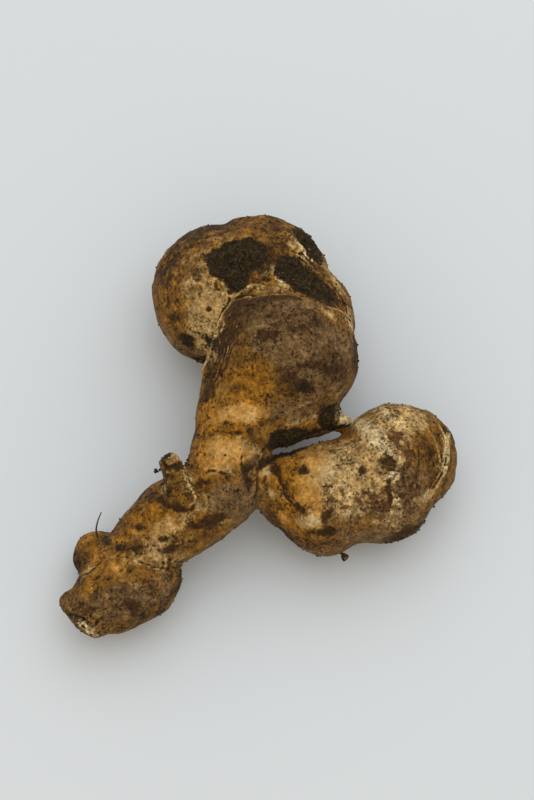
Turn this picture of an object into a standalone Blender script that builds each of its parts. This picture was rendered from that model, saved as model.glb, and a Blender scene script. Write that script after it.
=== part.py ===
"""Jerusalem artichoke, as dug: a branched, knobbly tuber with soil and a root hair clinging to it.

The tuber grew as one piece, so it is one solid. Its knobs are ellipsoids and its limbs are rows of
tapered tubes, all melted into one skin. The soil cakes are thin lenses that follow that skin.
Everything is in metres, +Z up. The tuber lies on z = 0 and the origin is under the middle of it.
"""

import math

import bmesh
import bpy
from mathutils import Matrix, Vector, noise

MM = 0.001

# ---- The tuber. Lengths in millimetres, places as (x, y, height) ----

# Knobs: middle, half-lengths (along, across, high) and the turn of "along" from +X in degrees.
KNOBS = {
    "crown": ((-11.4, 33.6, 18.1), (17.8, 19.6, 18.6), 0),
    "crown_arch": ((-0.2, 34.8, 18.5), (20.6, 20.8, 18.8), 0),
    "shoulder": ((6.2, 24.4, 19.4), (20.6, 20.6, 19.6), 0),
    "belly": ((7.4, 13.8, 25.6), (20.4, 19.2, 19.6), 0),
    "heel": ((5.9, 1.4, 22.0), (11.6, 11.6, 14.0), 0),
    "heel_corner": ((14.1, 0.6, 20.0), (8.2, 8.0, 12.0), 0),
    "side_knob": ((-43.0, -39.4, 8.2), (8.0, 8.1, 8.8), 0),
    "nose": ((-50.2, -52.4, 13.0), (4.4, 3.9, 4.5), 20),
    "root_knob": ((38.3, -13.2, 15.4), (16.2, 16.0, 15.0), 0),
    "root_body": ((33.2, -20.6, 15.6), (16.2, 16.0, 16.4), 0),
    "root_heel": ((18.2, -27.4, 15.0), (12.4, 12.2, 14.2), 0),
}
# Limbs: the middle and radius of each round they pass through, in order.
LIMBS = {
    "stem": (
        (-1.2, 8.0, 27.0, 13.0),
        (-5.2, -3.8, 25.6, 11.6),
        (-7.9, -12.3, 23.0, 10.6),
        (-9.9, -23.0, 21.6, 10.5),
        (-16.0, -26.0, 19.0, 11.3),
        (-22.7, -30.4, 17.4, 11.4),
        (-30.4, -35.0, 15.4, 9.4),
        (-34.0, -45.2, 12.2, 12.7),
        (-39.0, -49.4, 11.4, 11.2),
        (-43.6, -53.9, 12.0, 8.2),
    ),
    "cut_end": ((-43.6, -53.9, 12.0, 7.2), (-48.2, -59.8, 12.0, 5.0)),
    "old_stolon": ((-19.6, -27.8, 26.0, 5.3), (-24.6, -17.2, 36.0, 2.9)),
    "side_limb": (
        (1.5, -22.9, 19.0, 5.2),
        (9.0, -22.4, 17.0, 10.2),
        (20.4, -21.2, 16.0, 13.0),
        (32.8, -20.5, 15.8, 15.6),
    ),
    "bud": ((16.4, -1.2, 18.5, 3.6), (26.6, -4.0, 17.0, 1.6)),
}
MELT = 0.9  # the cell in which knobs and limbs are melted together
ROUNDING = 20  # how many times the creases between them are softened
LUMPS = (("swells", 13.0, 1.8), ("bumps", 5.0, 0.4))  # name, size and full height of the unevenness
SHARE_OF_FACES = 0.13  # what is kept of the fine faces
MIDDLE = (0.4, -3.35)  # (x, y) of the middle of the whole object, which becomes the origin

# ---- What clings to it ----

SOIL_GAP = 0.45  # between a cake and the skin under it
EDGE_SHARE = 0.3  # how thick a cake is at its edge, as a share of its middle
OUTLINE_WANDER = 0.12  # how far its outline wanders, as a share of its reach
# Cakes: a place on the skin, the way it faces, the thickness in the middle, and the reach of the
# outline every 30 degrees, anticlockwise from the cake's own right.
CAKES = {
    "soil_crown": (
        (-5.1, 38.0, 36.2), (-0.1, 0.0, 1.0), 1.4,
        (6.5, 7.5, 6.5, 5, 5, 6, 8, 7, 6.5, 8, 3.5, 4),
    ),
    "soil_shoulder": (
        (12.3, 32.4, 35.6), (0.3, 0.3, 0.9), 1.3,
        (4, 3.5, 3.5, 4.5, 8, 8.5, 5, 3.5, 3.5, 4.5, 6.5, 9),
    ),
    "soil_rim": (
        (14.1, 45.2, 28.2), (0.74, 0.5, 0.45), 1.6,
        (4.5, 5.5, 6, 5.5, 5, 4, 3.5, 3.5, 4, 5, 5, 4.5),
    ),
    "soil_heel": (
        (6.8, -9.4, 27.0), (0.3, -0.9, 0.3), 1.1,
        (4, 6, 4, 2.4, 2, 2.2, 3, 4, 3.2, 2.2, 2, 2.4),
    ),
    "soil_clod": (
        (18.9, -3.4, 26.6), (0.7, -0.5, 0.5), 1.6,
        (2.6, 2.2, 2.4, 2.6, 3, 3.2, 2.4, 2.2, 2.2, 2.4, 2.8, 3.4),
    ),
}
DROP = 1.5  # how far above its place a cake starts before it is drawn down
CAKE_STEPS = 14  # faces along and across a cake
# Crumbs: the middle, half-lengths and turn of each lump held on by fibres too fine to be modelled.
CRUMBS = {
    "soil_crumb": ((23.8, -39.8, 13.3), (1.2, 1.0, 1.0), 20),
    "soil_pellet": ((-27.4, -20.6, 32.6), (0.6, 0.8, 1.0), -20),
}
# The root hair: its middle line and the radius along it.
ROOT_HAIR = (
    (-43.7, -35.2, 16.2, 0.34),
    (-44.1, -33.6, 17.4, 0.27),
    (-43.7, -31.4, 19.0, 0.22),
    (-42.6, -29.0, 20.8, 0.16),
)


def make_finish(name, colour, roughness):
    """A plain finish of one colour, never metallic."""
    made = bpy.data.materials.new(name)
    made.use_nodes = True
    shader = made.node_tree.nodes["Principled BSDF"]
    shader.inputs["Base Color"].default_value = (*colour, 1)
    shader.inputs["Roughness"].default_value = roughness
    shader.inputs["Metallic"].default_value = 0
    return made


def clear_scene():
    for old in list(bpy.data.objects):
        bpy.data.objects.remove(old)


def new_object(name, shape, collection):
    """The bmesh as a named object in the collection."""
    mesh = bpy.data.meshes.new(name)
    shape.to_mesh(mesh)
    shape.free()
    made = bpy.data.objects.new(name, mesh)
    collection.objects.link(made)
    return made


def add_knob(shape, middle, halves, turn):
    """One ellipsoid."""
    place = Matrix.Translation(Vector(middle) * MM)
    place @= Matrix.Rotation(math.radians(turn), 4, "Z")
    place @= Matrix.Diagonal((*(Vector(halves) * MM), 1))
    bmesh.ops.create_icosphere(shape, subdivisions=4, radius=1, matrix=place)


def add_tube(shape, start, start_radius, end, end_radius):
    """One tapered tube with flat ends."""
    start = Vector(start) * MM
    end = Vector(end) * MM
    place = Matrix.Translation((start + end) / 2)
    place @= (end - start).to_track_quat("Z", "Y").to_matrix().to_4x4()
    bmesh.ops.create_cone(
        shape,
        cap_ends=True,
        segments=32,
        radius1=start_radius * MM,
        radius2=end_radius * MM,
        depth=(end - start).length,
        matrix=place,
    )


def add_limb(shape, rounds):
    """Tapered tubes from round to round, with a ball wherever two of them meet."""
    for (*start, start_radius), (*end, end_radius) in zip(rounds, rounds[1:]):
        add_tube(shape, start, start_radius, end, end_radius)
    for *middle, radius in rounds[1:-1]:
        add_knob(shape, middle, (radius, radius, radius), 0)


def build_table_cutter(cutters):
    """A slab whose top is the surface that the tuber lies on."""
    side = 200 * MM
    shape = bmesh.new()
    place = Matrix.Translation((0, 0, -side / 2)) @ Matrix.Scale(side, 4)
    bmesh.ops.create_cube(shape, size=1, matrix=place)
    cutter = new_object("table_cutter", shape, cutters)
    cutter.hide_render = True
    cutter.display_type = "WIRE"
    return cutter


def build_tuber(collection, cutters):
    """Knobs and limbs melted into one skin, made uneven, and flat in the three spots it lies on."""
    shape = bmesh.new()
    for middle, halves, turn in KNOBS.values():
        add_knob(shape, middle, halves, turn)
    for rounds in LIMBS.values():
        add_limb(shape, rounds)
    tuber = new_object("tuber", shape, collection)

    melt = tuber.modifiers.new("melt", "REMESH")
    melt.mode = "VOXEL"
    melt.voxel_size = MELT * MM
    soften = tuber.modifiers.new("soften", "SMOOTH")
    soften.factor = 0.5
    soften.iterations = ROUNDING
    for name, size, height in LUMPS:
        swell = tuber.modifiers.new(name, "DISPLACE")
        swell.texture = bpy.data.textures.new(name, "CLOUDS")
        swell.texture.noise_scale = size * MM
        swell.texture_coords = "LOCAL"
        swell.strength = height * MM
    thin = tuber.modifiers.new("thin", "DECIMATE")
    thin.ratio = SHARE_OF_FACES
    press = tuber.modifiers.new("press", "BOOLEAN")
    press.operation = "DIFFERENCE"
    press.solver = "EXACT"
    press.object = build_table_cutter(cutters)
    return tuber


def disc_place(x, y):
    """The point of a square from -1 to 1, moved onto the round disc inside it."""
    if x == 0 and y == 0:
        return 0.0, 0.0
    share = max(abs(x), abs(y)) / math.hypot(x, y)
    return x * share, y * share


def reach_toward(x, y, reaches):
    """How far a cake reaches in the direction of (x, y), between the two nearest given reaches."""
    step = (math.atan2(y, x) / math.tau) % 1 * len(reaches)
    index = int(step) % len(reaches)
    blend = (1 - math.cos(math.pi * (step % 1))) / 2
    return reaches[index] * (1 - blend) + reaches[(index + 1) % len(reaches)] * blend


def build_cake(name, place, facing, thick, reaches, tuber, collection):
    """A disc with a wandering outline, drawn down onto the skin and thickened away from it."""
    shape = bmesh.new()
    bmesh.ops.create_grid(shape, x_segments=CAKE_STEPS, y_segments=CAKE_STEPS, size=1)
    weights = []
    for vert in shape.verts:
        x, y = disc_place(vert.co.x, vert.co.y)
        reach = math.hypot(x, y)
        wander = 2 * OUTLINE_WANDER * noise.noise(Vector((3 * x, 3 * y, 40 * thick))) * reach
        grown = (1 + wander) * reach_toward(x, y, reaches) * MM
        vert.co.x = x * grown
        vert.co.y = y * grown
        weights.append(1 - reach**3)
    cake = new_object(name, shape, collection)
    away = Vector(facing).normalized()
    sideways = Vector((0, 1, 0)).cross(away).normalized()
    level = Matrix((sideways, away.cross(sideways), away)).transposed().to_4x4()
    cake.matrix_world = Matrix.Translation(Vector(place) * MM + away * DROP * MM) @ level

    thickness = cake.vertex_groups.new(name="thickness")
    for index, weight in enumerate(weights):
        thickness.add([index], weight, "REPLACE")
    drop = cake.modifiers.new("drop", "SHRINKWRAP")
    drop.target = tuber
    drop.wrap_method = "PROJECT"
    drop.use_project_z = True
    drop.use_positive_direction = False
    drop.use_negative_direction = True
    drop.cull_face = "BACK"
    lift = cake.modifiers.new("lift", "SHRINKWRAP")
    lift.target = tuber
    lift.wrap_method = "NEAREST_SURFACEPOINT"
    lift.wrap_mode = "ABOVE_SURFACE"
    lift.offset = SOIL_GAP * MM
    thicken = cake.modifiers.new("thicken", "SOLIDIFY")
    thicken.thickness = thick * MM
    thicken.offset = 1
    thicken.vertex_group = "thickness"
    thicken.thickness_vertex_group = EDGE_SHARE
    return cake


def build_crumb(name, middle, halves, turn, collection):
    """A lump of soil with a slightly uneven skin."""
    shape = bmesh.new()
    bmesh.ops.create_icosphere(shape, subdivisions=2, radius=1)
    for vert in shape.verts:
        vert.co *= 1 + 0.22 * noise.noise(vert.co * 1.6 + Vector(middle))
        vert.co = Vector((vert.co[axis] * halves[axis] * MM for axis in range(3)))
    crumb = new_object(name, shape, collection)
    crumb.matrix_world = Matrix.Translation(Vector(middle) * MM)
    crumb.matrix_world @= Matrix.Rotation(math.radians(turn), 4, "Z")
    return crumb


def build_root_hair(collection):
    """A bent hair that thins toward its tip."""
    line = bpy.data.curves.new("root_hair", "CURVE")
    line.dimensions = "3D"
    line.bevel_depth = MM
    line.bevel_resolution = 2
    line.use_fill_caps = True
    line.resolution_u = 4
    spline = line.splines.new("BEZIER")
    spline.bezier_points.add(len(ROOT_HAIR) - 1)
    for point, (*place, radius) in zip(spline.bezier_points, ROOT_HAIR):
        point.co = Vector(place) * MM
        point.radius = radius
        point.handle_left_type = "AUTO"
        point.handle_right_type = "AUTO"
    guide = bpy.data.objects.new("root_hair_line", line)
    shape = bmesh.new()
    shape.from_mesh(bpy.data.meshes.new_from_object(guide))
    bpy.data.objects.remove(guide)
    bmesh.ops.remove_doubles(shape, verts=shape.verts, dist=0.001 * MM)
    return new_object("root_hair", shape, collection)


def centre_on_origin(objects, collection):
    """Hang everything on one empty, moved so that the middle of the object is over the origin."""
    holder = bpy.data.objects.new("middle", None)
    collection.objects.link(holder)
    holder.location = (-MIDDLE[0] * MM, -MIDDLE[1] * MM, 0)
    for made in objects:
        made.parent = holder


def main():
    clear_scene()
    collection = bpy.data.collections.new("jerusalem_artichoke")
    cutters = bpy.data.collections.new("cutters")
    bpy.context.scene.collection.children.link(collection)
    bpy.context.scene.collection.children.link(cutters)
    skin = make_finish("tuber_skin", (0.36, 0.24, 0.11), 0.75)
    soil = make_finish("dug_soil", (0.045, 0.030, 0.020), 0.95)
    fibre = make_finish("root_fibre", (0.060, 0.040, 0.025), 0.80)

    tuber = build_tuber(collection, cutters)
    tuber.data.materials.append(skin)
    cakes = [build_cake(name, *cake, tuber, collection) for name, cake in CAKES.items()]
    crumbs = [build_crumb(name, *crumb, collection) for name, crumb in CRUMBS.items()]
    for lump in cakes + crumbs:
        lump.data.materials.append(soil)
    hair = build_root_hair(collection)
    hair.data.materials.append(fibre)
    centre_on_origin([tuber, *cutters.objects, *cakes, *crumbs, hair], collection)


main()
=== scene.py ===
"""A freshly dug jerusalem artichoke tuber, lying on a pale floor with its soil still on."""

import math

import bmesh
import bpy
import numpy as np
from mathutils import Euler, Matrix, Vector, noise
from mathutils.bvhtree import BVHTree


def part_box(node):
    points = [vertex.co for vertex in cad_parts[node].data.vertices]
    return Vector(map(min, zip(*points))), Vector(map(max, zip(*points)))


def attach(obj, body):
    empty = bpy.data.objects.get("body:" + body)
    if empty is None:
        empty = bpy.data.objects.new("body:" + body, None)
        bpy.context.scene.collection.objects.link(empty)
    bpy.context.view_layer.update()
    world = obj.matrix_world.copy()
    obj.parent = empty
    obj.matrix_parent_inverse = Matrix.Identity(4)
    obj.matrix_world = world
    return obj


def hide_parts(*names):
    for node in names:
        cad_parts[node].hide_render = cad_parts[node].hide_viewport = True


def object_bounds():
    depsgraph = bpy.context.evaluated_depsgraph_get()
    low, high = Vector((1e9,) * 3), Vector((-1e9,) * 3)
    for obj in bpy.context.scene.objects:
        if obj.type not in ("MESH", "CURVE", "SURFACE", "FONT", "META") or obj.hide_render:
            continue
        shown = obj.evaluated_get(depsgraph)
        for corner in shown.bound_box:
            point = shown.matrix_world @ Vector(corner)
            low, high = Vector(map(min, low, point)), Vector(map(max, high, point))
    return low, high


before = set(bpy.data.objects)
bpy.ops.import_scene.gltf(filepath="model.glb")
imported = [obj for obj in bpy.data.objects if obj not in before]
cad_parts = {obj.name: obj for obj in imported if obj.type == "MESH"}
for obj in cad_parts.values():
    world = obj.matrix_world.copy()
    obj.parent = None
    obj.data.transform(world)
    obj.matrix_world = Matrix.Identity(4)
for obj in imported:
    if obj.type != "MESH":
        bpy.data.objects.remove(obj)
cad_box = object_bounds()


# ---------------------------------------------------------------- camera
# A long lens on a copy stand, a metre off, leaning 15 degrees out from straight overhead
# toward the near side, so that the tuber's near flanks show a little.
CAMERA_LEAN = math.radians(15)
CAMERA_OFF = 0.9774
# How far the aim is from the middle of the tuber, and half of the width seen a metre off.
AIM_RIGHT, AIM_UP = 0.0021, 0.0053
FIELD_HALF = 0.112
SENSOR_MM = 36
SIGHT_END = 20


def placed(name, data):
    """A new object in the scene."""
    made = bpy.data.objects.new(name, data)
    bpy.context.scene.collection.objects.link(made)
    return made


to_camera = Vector((0, -math.sin(CAMERA_LEAN), math.cos(CAMERA_LEAN)))
picture_right = Vector((1, 0, 0))
picture_up = to_camera.cross(picture_right)
lens = bpy.data.cameras.new("copy_stand_lens")
lens.sensor_width = SENSOR_MM
lens.lens = SENSOR_MM / 2 / FIELD_HALF
lens.clip_end = SIGHT_END
camera = placed("copy_stand_camera", lens)
middle = (cad_box[0] + cad_box[1]) / 2
aim = middle + picture_right * AIM_RIGHT + picture_up * AIM_UP
camera.location = aim + to_camera * CAMERA_OFF
camera.rotation_mode = "QUATERNION"
stance = Matrix((picture_right, picture_up, to_camera)).transposed()
camera.rotation_quaternion = stance.to_quaternion()
bpy.context.scene.camera = camera


# ---------------------------------------------------------------- floor and light
# A matt pale grey board under one broad cool lamp that stands behind the tuber and to its
# right, with warm white walls all round that fill the shadows.
FLOOR_SIDE = 3.0
LAMP_PLACE = Vector((0.22, 0.6, 1.3))
LAMP_SIDE = 1.7
LAMP_POWER = 9.0
WALL_GLOW = 0.7
ROLLER_PATCH = 0.3


def paint(hex_colour):
    """An sRGB hex colour as the linear colour that a shader works in."""
    parts = [int(hex_colour[i : i + 2], 16) / 255 for i in (1, 3, 5)]
    return (*(p / 12.92 if p <= 0.04045 else ((p + 0.055) / 1.055) ** 2.4 for p in parts), 1.0)


def add(tree, kind, feeds, **settings):
    """Add one node with its settings. Feeds go to its sockets: another node's output is
    linked, anything else becomes the socket's own value."""
    node = tree.nodes.new(kind)
    for name, value in settings.items():
        setattr(node, name, value)
    for socket, value in feeds.items():
        if isinstance(value, bpy.types.NodeSocket):
            tree.links.new(value, node.inputs[socket])
        else:
            node.inputs[socket].default_value = value
    return node


def new_finish(name):
    """An empty node material: its tree, and its shader joined to the output."""
    finish = bpy.data.materials.new(name)
    finish.use_nodes = True
    tree = finish.node_tree
    tree.nodes.clear()
    shader = tree.nodes.new("ShaderNodeBsdfPrincipled")
    add(tree, "ShaderNodeOutputMaterial", {"Surface": shader.outputs[0]})
    return finish, tree, shader


board_mesh = bpy.data.meshes.new("board")
half = FLOOR_SIDE / 2
board_corners = [(-half, -half, 0), (half, -half, 0), (half, half, 0), (-half, half, 0)]
board_mesh.from_pydata(board_corners, [], [(0, 1, 2, 3)])
board = placed("board", board_mesh)
# Emulsion-painted board: flat and chalky, so the shadows on it have no gloss in them, with
# the faint patches that a roller leaves.
emulsion, tree, shader = new_finish("emulsion paint, matt")
here = add(tree, "ShaderNodeTexCoord", {})
patches = {"Vector": here.outputs["Object"], "Scale": 1 / ROLLER_PATCH, "Detail": 2.0}
roller = add(tree, "ShaderNodeTexNoise", patches)
whites = {0: roller.outputs[0], 6: paint("#e0e3e4"), 7: paint("#e5e8e8")}
tint = add(tree, "ShaderNodeMix", whites, data_type="RGBA")
tree.links.new(tint.outputs[2], shader.inputs["Base Color"])
shader.inputs["Roughness"].default_value = 0.95
shader.inputs["Specular IOR Level"].default_value = 0.1
board_mesh.materials.append(emulsion)

lamp = bpy.data.lights.new("soft_lamp", "AREA")
lamp.energy = LAMP_POWER
lamp.color = paint("#e0eeff")[:3]
lamp.size = LAMP_SIDE
lamp_stand = placed("soft_lamp", lamp)
lamp_stand.location = LAMP_PLACE
lamp_stand.rotation_mode = "QUATERNION"
lamp_stand.rotation_quaternion = (-LAMP_PLACE).to_track_quat("-Z", "Y")
room = bpy.data.worlds.new("white_room")
bpy.context.scene.world = room
room.use_nodes = True
room.node_tree.nodes["Background"].inputs["Color"].default_value = paint("#fffbf4")
room.node_tree.nodes["Background"].inputs["Strength"].default_value = WALL_GLOW
bpy.context.scene.view_settings.view_transform = "Standard"


# ---------------------------------------------------------------- the tuber
# One grown piece: firm pale flesh under a thin corky skin that is tan where it is clean,
# brown where soil has stained it, and torn along the creases where the lobes grew apart.

# The skin's mesh has cells this wide in mm, and is smoothed this many times to lose its steps.
MM = 0.001
SKIN_STEP = 0.45
SKIN_SMOOTHING = 3
TOUCHING = 0.001 * MM


def skin_of(node, step, smoothing):
    """A closed even mesh over the shape of a CAD node, as a new mesh."""
    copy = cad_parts[node].data.copy()
    weld = bmesh.new()
    weld.from_mesh(copy)
    bmesh.ops.remove_doubles(weld, verts=weld.verts, dist=TOUCHING)
    weld.to_mesh(copy)
    weld.free()
    holder = placed("holder", copy)
    even = holder.modifiers.new("even", "REMESH")
    even.mode = "VOXEL"
    even.voxel_size = step * MM
    calm = holder.modifiers.new("calm", "SMOOTH")
    calm.factor = 0.5
    calm.iterations = smoothing
    seen = holder.evaluated_get(bpy.context.evaluated_depsgraph_get())
    made = bpy.data.meshes.new_from_object(seen)
    bpy.data.objects.remove(holder)
    made.materials.clear()
    return made


def points_of(mesh):
    """A mesh's points in millimetres and the way that it faces at each."""
    places = np.empty(len(mesh.vertices) * 3, np.float32)
    facing = np.empty(len(mesh.vertices) * 3, np.float32)
    mesh.vertices.foreach_get("co", places)
    mesh.vertices.foreach_get("normal", facing)
    return places.reshape(-1, 3).astype(float) / MM, facing.reshape(-1, 3).astype(float)


def move_points(mesh, places):
    """Put a mesh's points at these places in millimetres."""
    mesh.vertices.foreach_set("co", (places * MM).astype(np.float32).ravel())
    mesh.update()


def search_tree(places, mesh):
    """A tree that finds where a mesh is hit or is nearest, with its points at these places."""
    faces = [tuple(face.vertices) for face in mesh.polygons]
    return BVHTree.FromPolygons([Vector(place) for place in places], faces)


def clouds(points, size, seed):
    """Smooth noise from -1 to 1 at each point, with lumps about size millimetres apart."""
    shift = Vector((seed * 17.3, seed * 5.1, seed * 9.7))
    return np.array([noise.noise(Vector(p) / size + shift) for p in points])


def ease(value, start, end):
    """From 0 at start to 1 at end, which may be the lower of the two, and level beyond them."""
    share = np.clip((value - start) / (end - start), 0, 1)
    return share * share * (3 - 2 * share)


skin_mesh = skin_of("tuber", SKIN_STEP, SKIN_SMOOTHING)
points, facing = points_of(skin_mesh)
skin_bvh = search_tree(points, skin_mesh)

# Marks are laid out as on a sheet of paper that leans 15 degrees toward the near side: the
# first number goes right and the second goes up the sheet, in mm. They drop onto the skin
# that faces the sheet, with nothing between, and fade out where it turns away.
SHEET_HEIGHT = 100.0
CLEAR = 0.3
TURNED_AWAY = -0.3
FADE_OUT = (-0.35, 0.1)
SOFTENING = 8
across = points[:, 0]
along = points @ np.array(picture_up)
to_sheet = facing @ np.array(to_camera)
open_above = np.array(
    [
        toward > TURNED_AWAY and skin_bvh.ray_cast(Vector(p + CLEAR * n), to_camera)[0] is None
        for p, n, toward in zip(points, facing, to_sheet)
    ]
)
edges = np.empty(len(skin_mesh.edges) * 2, np.int32)
skin_mesh.edges.foreach_get("vertices", edges)
edges = edges.reshape(-1, 2)


def spread(values, rounds):
    """Values evened out over the skin, from each point to its neighbours."""
    values = np.array(values, float)
    count = np.bincount(edges.ravel(), minlength=len(points))
    shape = (-1,) + (1,) * (values.ndim - 1)
    for _ in range(rounds):
        total = np.zeros_like(values)
        np.add.at(total, edges[:, 0], values[edges[:, 1]])
        np.add.at(total, edges[:, 1], values[edges[:, 0]])
        values = 0.5 * values + 0.5 * total / count.reshape(shape)
    return values


upper = spread(open_above, SOFTENING) * ease(to_sheet, *FADE_OUT)

# Each patch: right, up, half length, half width, turn in degrees, and how much of it is
# covered. Pale skin is clean cork that has dried.
PALE_SKIN = (
    (12, 6, 5, 1.5, 15, 0.5),
    (-14.5, 38, 12, 6.5, 100, 0.55),
    (-13, 52, 7.5, 3.5, 20, 0.3),
    (-15.5, 28, 5, 3.5, 110, 0.8),
    (-9, 38.5, 6.5, 1.5, 55, 0.9),
    (-11.5, 25, 4, 1.0, 65, 0.8),
    (2.5, 42, 8.5, 2, 5, 0.5),
    (3, 47, 5, 1.5, 10, 0.9),
    (-34, -42.5, 6, 2, 30, 0.5),
    (-9, -21, 3, 3, 0, 0.4),
    (11, 52.5, 6, 1.5, -42, 0.7),
    (20.5, 44, 5.5, 1, -58, 0.7),
    (25.5, 32.5, 4.5, 1.5, -75, 0.8),
    (18.5, 34.5, 3, 1, -40, 0.7),
    (-4, 7.5, 6, 2.2, 0, 0.6),
    (-10, 11.5, 4, 3, 30, 0.25),
    (-8.5, -2, 5, 3.5, 0, 0.8),
    (-12, -8, 4, 2, 0, 0.5),
    (12, 6.5, 3.5, 1.5, 20, 0.6),
    (16.5, 16.5, 2.5, 1.5, 0, 0.6),
    (21.5, 13, 2.5, 1.5, 45, 0.5),
    (22.5, 6.5, 3, 2, -35, 1.0),
    (-24.5, -23.5, 8.5, 4, 15, 0.5),
    (-27.5, -30.5, 7.5, 4, 0, 0.52),
    (-37.5, -34.5, 6, 3, 0, 0.2),
    (-32.5, -40, 3, 1, -50, 0.6),
    (-12.5, -16, 4, 2, 10, 0.6),
    (-16, -15.5, 1.5, 3, 0, 0.5),
    (-19.5, -11, 4, 1.1, -70, 0.6),
    (-25.8, -13, 1.2, 0.8, 60, 0.7),
    (-25.5, -11.5, 3, 1, -80, 0.5),
    (-22.5, -4, 1.5, 1, -70, 0.7),
    (-7, -13.5, 3, 2, 0, 0.3),
    (36, 4.5, 8, 5, -30, 0.7),
    (42.5, 6.5, 5, 2.5, -30, 0.7),
    (27, -8, 11, 9, 0, 0.72),
    (32.6, 0.2, 7.5, 2.9, -42, 1.0),
    (40, -12, 6, 7, 10, 0.35),
    (16, -7.5, 3.5, 4, -40, 1.0),
    (24, -15, 9, 7, 0, 0.62),
    (36.5, -20, 7.5, 5, 10, 0.6),
    (14.5, -21.5, 4, 2.5, 0, 0.8),
    (51, -3, 7.5, 1, 80, 0.8),
    (46, -14.5, 3, 1.5, 40, 0.6),
    (2, -8, 1.5, 1.5, 0, 1.0),
    (3, -14.5, 4, 2, -40, 0.4),
    (-2, -2.5, 2, 3.5, 90, 0.4),
    (-47.5, -36, 3.5, 1, 40, 0.5),
)
# Cork that is still damp, or that is thin over the flesh.
ORANGE_SKIN = (
    (13, 5.5, 6, 2.5, 15, 0.8),
    (-5, -8, 6, 3, -10, 0.5),
    (-25, 43.5, 9.5, 3, 95, 0.6),
    (-2, 59, 9.5, 2.5, -3, 0.55),
    (7, 55.5, 4.5, 2.5, -40, 0.5),
    (2, 45.5, 3, 1.5, 10, 1.0),
    (2.5, 44.5, 2, 1.5, 0, 1.0),
    (-9, 33.5, 7.5, 1, 65, 0.7),
    (-1.5, 15.5, 4.5, 5, 90, 1.0),
    (-6, 18, 3.5, 4.5, 80, 0.5),
    (-4.5, 8.5, 9.5, 4.5, 5, 0.8),
    (-14, 5.5, 6.5, 2, 70, 0.8),
    (-15, -3, 7.5, 3.5, 100, 1.0),
    (-9, 3, 6, 3, 0, 0.9),
    (-12, -5.5, 4.5, 3, 0, 0.6),
    (-29.5, -20, 9, 4, 25, 0.6),
    (-36.5, -27, 5.5, 4, 40, 0.4),
    (-46.5, -30.5, 5, 3, 75, 0.7),
    (-40, -34.5, 6.5, 3.5, 0, 0.5),
    (-18, -20, 5.5, 2, 10, 0.6),
    (-45, -39.5, 2.5, 2, 0, 0.8),
    (-29.5, -13.5, 3, 1.5, 30, 0.8),
    (13, -13, 5, 6, 10, 1.0),
    (6, -9.5, 5.5, 3.5, -40, 0.9),
    (11, -4, 8.5, 1.5, 15, 0.9),
    (7, -17.5, 4.5, 2.5, -50, 0.9),
    (38, 9, 4, 1.5, -5, 0.8),
    (39.5, 1, 5, 2.5, -50, 0.8),
    (30, -12, 4, 6, 90, 0.5),
    (44, -1, 5, 4, -60, 0.5),
    (24, 0, 4.5, 3, 10, 0.7),
    (29, -22, 2, 1.5, 60, 0.6),
    (9, -22, 6, 3, -45, 0.8),
    (-18, 50, 9, 5, 40, 0.4),
    (-35, -21, 9, 3, 42, 0.6),
    (-30, -39, 5, 3, 30, 0.5),
    (-46, -44, 4, 3, 0, 0.5),
)
# Smooth new skin at the neck and round the buds, with hardly a pore in it.
YOUNG_SKIN = (
    (-3.5, 7.5, 5.5, 2.2, 0, 0.9),
    (-10, 7, 3, 2, 30, 0.6),
    (-8.5, -2.5, 5, 3.5, 0, 1.0),
    (-12, -7, 4, 2, 0, 0.6),
    (16, -7.5, 3.5, 4, -40, 0.9),
    (12, -2.5, 5, 1.5, 15, 0.5),
    (14, -13.5, 3.4, 4.4, 0, 0.75),
    (2, -8, 1.5, 2, 0, 1.0),
    (-25, -22.5, 7, 2.5, 15, 0.4),
    (-37.5, -34.5, 5, 2.5, 0, 0.3),
    (14.5, -21.5, 4, 2, 0, 0.7),
    (6, -20, 2.5, 1.2, -40, 0.5),
    (-10, 55, 3, 2, 0, 0.4),
    (-22, 52, 2, 1, 80, 0.6),
    (16.5, 16.5, 2, 1.2, 0, 0.5),
)
# Cork under a film of dried mud.
DUSTY_SKIN = (
    (8.5, 28.5, 12.5, 8.5, -15, 0.9),
    (20.5, 24.5, 6.5, 5.5, 90, 0.9),
    (14, 18, 8.5, 5, -10, 0.8),
    (3, 36.5, 11, 2.5, 0, 0.9),
    (-7.5, -16, 7.5, 5, 10, 0.9),
    (-2.5, -8, 5.5, 3, 80, 0.6),
    (-40.5, -44.5, 10, 5.5, 25, 0.65),
    (-29, -40.5, 8.5, 4.5, 35, 0.6),
    (-51, -44.5, 3.5, 3.5, 0, 0.7),
    (-46, -52, 4, 2, 0, 0.6),
    (41, -11, 8, 5, 80, 0.6),
    (36, -21, 7, 4, 10, 0.25),
    (39.5, -20, 6, 4, 20, 0.4),
    (26, -25.5, 8.5, 2, 0, 0.6),
    (12.5, 9.5, 8.5, 4, 10, 0.5),
    (-14, 54, 7, 2.5, 30, 0.5),
    (24, -21.5, 6, 2, 0, 0.4),
    (5.5, 8.5, 4.5, 3, 0, 0.5),
    (-32.5, -16, 6, 1.5, 48, 0.2),
)
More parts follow.
